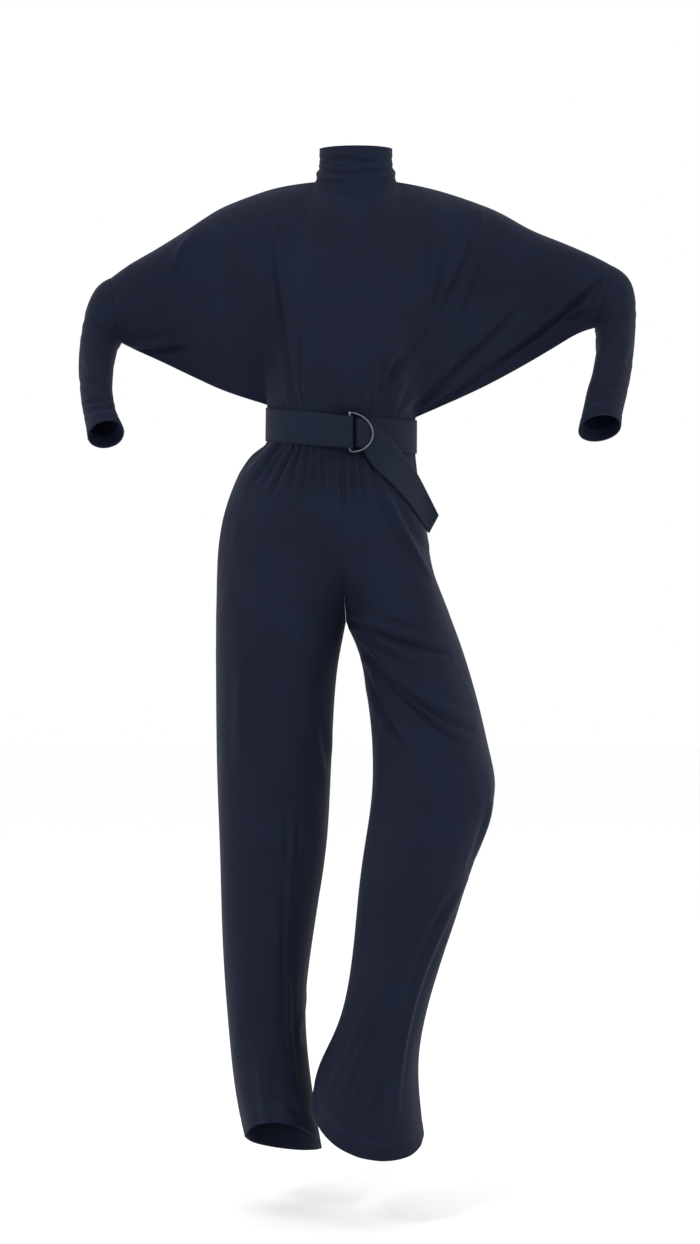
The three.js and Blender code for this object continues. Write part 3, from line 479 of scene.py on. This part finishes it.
def pick(*pieces):
    """Leaves only these objects selected, with the first one active"""
    bpy.ops.object.select_all(action="DESELECT")
    for piece in pieces:
        piece.select_set(True)
    bpy.context.view_layer.objects.active = pieces[0]


def add_modifier(piece, kind, **settings):
    """Adds a modifier and applies it"""
    pick(piece)
    modifier = piece.modifiers.new(kind.lower(), kind)
    for name, value in settings.items():
        setattr(modifier, name, value)
    bpy.ops.object.modifier_apply(modifier=modifier.name)


def triangles_to_squares():
    """Joins the triangles of the mesh being edited in pairs"""
    bpy.ops.mesh.select_all(action="SELECT")
    bpy.ops.mesh.tris_convert_to_quads(
        face_threshold=math.radians(QUAD_BEND),
        shape_threshold=math.radians(QUAD_SKEW),
    )


def copied_node(node, name):
    """A solid's copy with its loose triangles joined, as a piece of its own"""
    pick(nodes[node])
    bpy.ops.object.duplicate()
    piece = bpy.context.object
    piece.name = name
    piece.data.name = name
    piece.parent = None
    for key in list(piece.keys()):
        del piece[key]
    piece.data.materials.clear()
    bpy.ops.object.mode_set(mode="EDIT")
    bpy.ops.mesh.select_all(action="SELECT")
    bpy.ops.mesh.remove_doubles(threshold=WELD)
    bpy.ops.object.mode_set(mode="OBJECT")
    return piece


def is_cut_edge(face, wall):
    """A face across the wall's thickness, known by a side as long as the wall is thick"""
    return any(abs(edge.calc_length() - wall) < WALL_SLACK for edge in face.edges)


def keep_outer_face(piece, wall):
    """Opens a wall along its cut edges and keeps the larger of its two faces"""
    pick(piece)
    bpy.ops.object.mode_set(mode="EDIT")
    bpy.ops.mesh.select_mode(type="FACE")
    bpy.ops.mesh.select_all(action="DESELECT")
    skin = bmesh.from_edit_mesh(piece.data)
    for face in skin.faces:
        face.select_set(is_cut_edge(face, wall))
    bmesh.update_edit_mesh(piece.data)
    bpy.ops.mesh.delete(type="FACE")
    bpy.ops.mesh.select_all(action="SELECT")
    bpy.ops.mesh.separate(type="LOOSE")
    bpy.ops.object.mode_set(mode="OBJECT")
    parts = list(bpy.context.selected_objects)
    area = {part: sum(face.area for face in part.data.polygons) for part in parts}
    outer = max(parts, key=area.get)
    name = piece.name
    for part in parts:
        if part != outer:
            bpy.data.objects.remove(part)
    outer.name = name
    pick(outer)
    bpy.ops.object.mode_set(mode="EDIT")
    triangles_to_squares()
    bpy.ops.object.mode_set(mode="OBJECT")
    return outer


def points_of(piece):
    """A mesh's points, in millimetres"""
    flat = np.empty(len(piece.data.vertices) * 3, np.float32)
    piece.data.vertices.foreach_get("co", flat)
    return flat.reshape(-1, 3).astype(float) / MM


def normals_of(piece):
    flat = np.empty(len(piece.data.vertices) * 3, np.float32)
    piece.data.vertices.foreach_get("normal", flat)
    return flat.reshape(-1, 3).astype(float)


def set_points(piece, points):
    piece.data.vertices.foreach_set("co", (points * MM).astype(np.float32).ravel())
    piece.data.update()


def smoothed(value):
    value = np.clip(value, 0, 1)
    return value * value * (3 - 2 * value)


def rim_points(piece):
    """The points on a sheet's open edges"""
    skin = bmesh.new()
    skin.from_mesh(piece.data)
    rim = [vertex.index for vertex in skin.verts if vertex.is_boundary]
    skin.free()
    return rim


def distance_to(points, targets):
    """How far each point is from the nearest target"""
    tree = KDTree(len(targets))
    for i, target in enumerate(targets):
        tree.insert(target, i)
    tree.balance()
    return np.array([tree.find(point)[2] for point in points])


def fold_height(points, folds):
    """How far the folds push each point in or out, seen from the front"""
    x, z = points[:, 0], points[:, 2]
    height = np.zeros(len(points))
    steps = np.linspace(0, 1, FOLD_STEPS)
    for from_x, from_z, to_x, to_z, bow, width, depth in folds:
        along = np.array([to_x - from_x, to_z - from_z])
        across = np.array([-along[1], along[0]])
        bend = (4 * bow * steps * (1 - steps))[:, None]
        line = np.array([from_x, from_z]) + steps[:, None] * along + bend * across
        nearest = np.full(len(points), np.inf)
        place = np.zeros(len(points))
        side = np.zeros(len(points))
        for i in range(len(steps) - 1):
            start, span = line[i], line[i + 1] - line[i]
            dx, dz = x - start[0], z - start[1]
            t = np.clip((dx * span[0] + dz * span[1]) / (span @ span), 0, 1)
            away = np.hypot(dx - t * span[0], dz - t * span[1])
            closer = away < nearest
            nearest[closer] = away[closer]
            place[closer] = (i + t[closer]) / (len(steps) - 1)
            side[closer] = np.sign(span[0] * dz[closer] - span[1] * dx[closer])
        taper = np.sin(math.pi * np.clip(0.04 + 0.92 * place, 0, 1)) ** 0.7
        off = side * nearest / width
        shape = np.exp(-(off**2)) - 0.35 * np.exp(-((off - 1.7) ** 2)) - 0.2 * np.exp(-((off + 1.7) ** 2))
        height += depth * taper * shape
    return height


def gather_height(points, pleats, depth, reach):
    """Small uneven pleats that fan out from the belt's edge, as narrow troughs of unlike lengths"""
    x, y, z = points.T
    level = WAIST_Z - SIDE_DIP * (x - WAIST_X) + FRONT_DIP * y
    away = np.abs(z - level) - BELT_HALF
    turn = np.arctan2(y, x - WAIST_X)
    length = reach * (0.6 + 0.4 * np.sin(9 * turn + 1.7))
    fade = smoothed(1 - away / length) * smoothed(away / 10 + 0.4)
    phase = 0.5 * pleats * turn + 0.7 * np.sin(7 * turn)
    troughs = (1 - np.abs(np.sin(phase))) ** 3 + 0.6 * (1 - np.abs(np.sin(1.62 * phase + 1))) ** 4
    patchy = 0.55 + 0.45 * np.sin(5 * turn + 0.8)
    return -depth * fade * troughs * patchy


def drape_height(points, size, depth, seed):
    """The slight unevenness of hanging cloth, longer down the garment than across it"""
    shift = Vector((seed * 7.1, seed * 3.7, seed * 1.9))
    scaled = points / np.array([size, size, 2.4 * size])
    return depth * np.array([noise.noise(Vector(place) + shift) for place in scaled])


def cut_uv(piece):
    """Lays the sheet flat, as its pattern was cut: metres, with the wales running up the garment"""
    pick(piece)
    bpy.ops.object.mode_set(mode="EDIT")
    bpy.ops.mesh.select_all(action="SELECT")
    bpy.ops.uv.unwrap(method="ANGLE_BASED", margin=0)
    bpy.ops.object.mode_set(mode="OBJECT")
    mesh = piece.data
    layer = mesh.uv_layers.active
    layer.name = "cloth"
    flat = np.empty(len(mesh.loops) * 2, np.float32)
    layer.data.foreach_get("uv", flat)
    flat = flat.reshape(-1, 2).astype(float)
    corner = np.empty(len(mesh.loops), np.int32)
    mesh.loops.foreach_get("vertex_index", corner)
    points = points_of(piece)[corner] * MM
    centred = flat - flat.mean(0)
    up = points[:, 2] - points[:, 2].mean()
    slope, *_ = np.linalg.lstsq(centred, up, rcond=None)
    up_way = slope / max(np.hypot(*slope), 1e-9)
    turned = np.stack([centred @ np.array([up_way[1], -up_way[0]]), centred @ up_way], 1)
    size = math.sqrt(sum(face.area for face in mesh.polygons) / max(uv_area(mesh, flat), 1e-12))
    layer.data.foreach_set("uv", (turned * size).astype(np.float32).ravel())


def uv_area(mesh, flat):
    total = 0
    for face in mesh.polygons:
        corners = flat[list(face.loop_indices)]
        x, y = corners.T
        total += abs(x @ np.roll(y, 1) - y @ np.roll(x, 1)) / 2
    return total


def open_tube(piece):
    """Marks a seam up a tube, from the low end of its back, so that it can be laid flat"""
    skin = bmesh.new()
    skin.from_mesh(piece.data)
    rim = [vertex for vertex in skin.verts if vertex.is_boundary]
    low = min(rim, key=lambda vertex: vertex.co.z - 0.6 * vertex.co.y)
    walked = {low}
    here = low
    while True:
        ahead = [
            edge
            for edge in here.link_edges
            if not edge.is_boundary and edge.other_vert(here) not in walked
        ]
        if not ahead:
            break
        best = max(ahead, key=lambda edge: edge.other_vert(here).co.z - here.co.z)
        best.seam = True
        here = best.other_vert(here)
        walked.add(here)
        if here.is_boundary:
            break
    skin.to_mesh(piece.data)
    skin.free()


def hold_corners(piece):
    """Keeps the cut's corners in place when the sheet is made finer, as at the crotch and neckline"""
    skin = bmesh.new()
    skin.from_mesh(piece.data)
    crease = skin.verts.layers.float.new("crease_vert")
    for vertex in skin.verts:
        ways = [e.other_vert(vertex).co - vertex.co for e in vertex.link_edges if e.is_boundary]
        if len(ways) == 2 and ways[0].angle(-ways[1]) > math.radians(CUT_CORNER):
            vertex[crease] = 1
    skin.to_mesh(piece.data)
    skin.free()


def finer(piece, levels):
    add_modifier(
        piece,
        "SUBSURF",
        levels=levels,
        render_levels=levels,
        boundary_smooth="PRESERVE_CORNERS",
    )


def relax(piece):
    """Takes the corners out of a sheet without shrinking it; its rim stays"""
    points = points_of(piece)
    ends = np.empty(len(piece.data.edges) * 2, np.int32)
    piece.data.edges.foreach_get("vertices", ends)
    one, two = ends.reshape(-1, 2).T
    count = np.bincount(ends, minlength=len(points))[:, None]
    free = smoothed(distance_to(points, points[rim_points(piece)]) / RELAX_FADE)[:, None]
    for _ in range(RELAX_ROUNDS):
        for rate in RELAX_RATES:
            total = np.zeros_like(points)
            np.add.at(total, one, points[two])
            np.add.at(total, two, points[one])
            points += rate * free * (total / count - points)
    set_points(piece, points)


def surface_of(node):
    mesh = nodes[node].data
    spots = [vertex.co for vertex in mesh.vertices]
    return BVHTree.FromPolygons(spots, [face.vertices for face in mesh.polygons])


surfaces = {node: surface_of(node) for node in nodes if not node.startswith("d_ring")}


def edges_of(node, points, rim):
    """The points on a sheet's sewn edges, and those on its free ones"""
    others = [surface for name, surface in surfaces.items() if name != node]
    sewn = np.array(
        [
            any(other.find_nearest(points[i] * MM, SEAM_REACH)[0] for other in others)
            for i in rim
        ]
    )
    edge = points[rim]
    return edge[sewn], edge[~sewn]


def mark_hem(piece, off_seam):
    """Where a sheet's hem is: for the stitches, and for its doubled thickness"""
    marks = piece.data.attributes.new("off_hem_seam", "FLOAT", "POINT")
    marks.data.foreach_set("value", off_seam.astype(np.float32))
    doubled = piece.vertex_groups.new(name="turned_up")
    doubled.add(np.flatnonzero(off_seam < TWIN_GAP / 2).tolist(), 1, "REPLACE")


def cloth_shell(node, seed, tube=False):
    """A panel: its solid's outer face, finer, creased, and thick again"""
    piece = keep_outer_face(copied_node(node, f"{node}_cloth"), WALL)
    hold_corners(piece)
    if tube:
        open_tube(piece)
    cut_uv(piece)
    finer(piece, 1)
    relax(piece)
    finer(piece, FINENESS - 1)
    points = points_of(piece)
    normals = normals_of(piece)
    sewn, free = edges_of(node, points, rim_points(piece))
    share = smoothed(distance_to(points, sewn) / SEAM_FADE)
    centre = (np.abs(sewn[:, 0] - CENTRE_X) < CENTRE_REACH) & (sewn[:, 2] > CENTRE_LOW)
    ending = smoothed(distance_to(points, sewn[~centre]) / SEAM_FADE)
    height = fold_height(points, FOLDS[node])
    if tube:
        # Its folds are drawn from the front, and only a quarter of their depth goes round the back
        height *= smoothed(0.5 - 1.4 * normals[:, 1]) * 0.75 + 0.25
    if node in GATHERS:
        height += gather_height(points, *GATHERS[node])
    height *= ending
    height += sum(drape_height(points, size, deep, seed + more) for size, deep, more in WAVES) * share
    hem_seam = HEM_SEAM.get(node.split("_")[0])
    off_seam = distance_to(points, free) - hem_seam if hem_seam else np.full(len(points), NO_HEM)
    height -= HEM_DIP * np.exp(-((off_seam / HEM_DIP_WIDTH) ** 2))
    set_points(piece, points + normals * height[:, None])
    mark_hem(piece, off_seam)
    # The whole of this thickness is at the turned-up hems, and half of it elsewhere
    add_modifier(
        piece,
        "SOLIDIFY",
        thickness=2 * JERSEY_THICK,
        offset=-1,
        vertex_group="turned_up",
        thickness_vertex_group=0.5,
    )
    bpy.ops.object.shade_smooth_by_angle(angle=math.radians(CLOTH_EDGE))
    piece.data.materials.append(jersey)
    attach(piece, "root")
    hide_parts(node)
    return piece


for seed, node in enumerate(
    [
        "bodice_front",
        "bodice_back",
        "trouser_front_right",
        "trouser_back_right",
        "trouser_front_left",
        "trouser_back_left",
    ]
):
    cloth_shell(node, seed)
for seed, node in enumerate(["sleeve_right", "sleeve_left", "collar"], start=20):
    cloth_shell(node, seed, tube=True)


def rounded_solid(node, name, sharp):
    """A solid's copy with squares for triangles, made smooth; edges sharper than this stay"""
    piece = copied_node(node, name)
    bpy.ops.object.mode_set(mode="EDIT")
    triangles_to_squares()
    bpy.ops.mesh.select_all(action="DESELECT")
    bpy.ops.mesh.select_mode(type="EDGE")
    bpy.ops.mesh.edges_select_sharp(sharpness=math.radians(sharp))
    bpy.ops.transform.edge_crease(value=1)
    bpy.ops.object.mode_set(mode="OBJECT")
    add_modifier(piece, "SUBSURF", levels=SOLID_FINENESS, render_levels=SOLID_FINENESS)
    bpy.ops.object.shade_smooth_by_angle(angle=math.radians(SOLID_EDGE))
    return piece


belt = rounded_solid("belt", "belt_cloth", sharp=55)
cut = points_of(belt)
belt.data.uv_layers.new(name="cloth")
spots = np.empty(len(belt.data.loops), np.int32)
belt.data.loops.foreach_get("vertex_index", spots)
round_belt = np.arctan2(cut[:, 1], cut[:, 0] - WAIST_X)
belt_uv = np.stack([round_belt * BELT_RADIUS * MM, cut[:, 2] * MM], 1)[spots]
belt.data.uv_layers["cloth"].data.foreach_set("uv", belt_uv.astype(np.float32).ravel())
outward = np.stack([cut[:, 0] - WAIST_X, cut[:, 1], np.zeros(len(cut))], 1)
outward /= np.linalg.norm(outward, axis=1)[:, None]
set_points(belt, cut + outward * drape_height(cut, *BELT_WAVES)[:, None])
mark_hem(belt, np.full(len(cut), NO_HEM))
belt.data.materials.append(sash)
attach(belt, "root")
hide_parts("belt")

for node in ("d_ring_inner", "d_ring_outer"):
    ring = rounded_solid(node, f"{node}_wire", sharp=80)
    ring.data.materials.append(wire)
    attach(ring, "root")
    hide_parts(node)


def soft_light(name, place, target, size, power):
    lamp = bpy.data.lights.new(name, "AREA")
    lamp.shape = "DISK"
    lamp.size = size
    lamp.energy = power
    holder = bpy.data.objects.new(name, lamp)
    bpy.context.scene.collection.objects.link(holder)
    holder.location = place
    holder.rotation_euler = (Vector(target) - Vector(place)).to_track_quat("-Z", "Y").to_euler()


# The floor's height in metres, 7 cm under the lowest hem
FLOOR = -1.53
bpy.ops.object.select_all(action="DESELECT")
bpy.ops.mesh.primitive_plane_add(size=24, location=(0, 3, FLOOR))
floor = bpy.context.object
floor.name = "studio_floor"
paper = new_material("white_studio_paper")
paper_shader = add_node(
    paper,
    "ShaderNodeBsdfPrincipled",
    values={"Base Color": linear("#fdfdfd"), "Roughness": 0.9},
)
finish_material(paper, paper_shader)
floor.data.materials.append(paper)

world = bpy.data.worlds.new("studio")
bpy.context.scene.world = world
world.use_nodes = True
world.node_tree.nodes["Background"].inputs["Color"].default_value = linear("#ffffff")
world.node_tree.nodes["Background"].inputs["Strength"].default_value = 1.0
bpy.context.scene.view_settings.view_transform = "Standard"

soft_light("key", (-2.0, -3.0, 1.9), (0, 0, -0.3), 1.0, 52)
soft_light("fill", (2.2, -2.9, 0.8), (0, 0, -0.4), 1.6, 34)
soft_light("side_right", (-2.8, 1.2, 0.2), (0, 0, -0.6), 1.6, 9)
soft_light("side_left", (2.8, 1.2, 0.2), (0, 0, -0.6), 1.6, 9)

# The photograph's view, level and 4 m in front: its height in pixels, and how many pixels from its
# middle a point lies that is as far up as it is away
PHOTO_HEIGHT, SLOPE_PIXELS = 1244, 2667
SENSOR = 36
camera_data = bpy.data.cameras.new("photo_view")
camera_data.sensor_width = SENSOR
camera_data.lens = SLOPE_PIXELS / PHOTO_HEIGHT * SENSOR
camera = bpy.data.objects.new("photo_view", camera_data)
bpy.context.scene.collection.objects.link(camera)
camera.location = (-9 * MM, -4, -648 * MM)
camera.rotation_euler = (math.radians(90), 0, 0)
bpy.context.scene.camera = camera
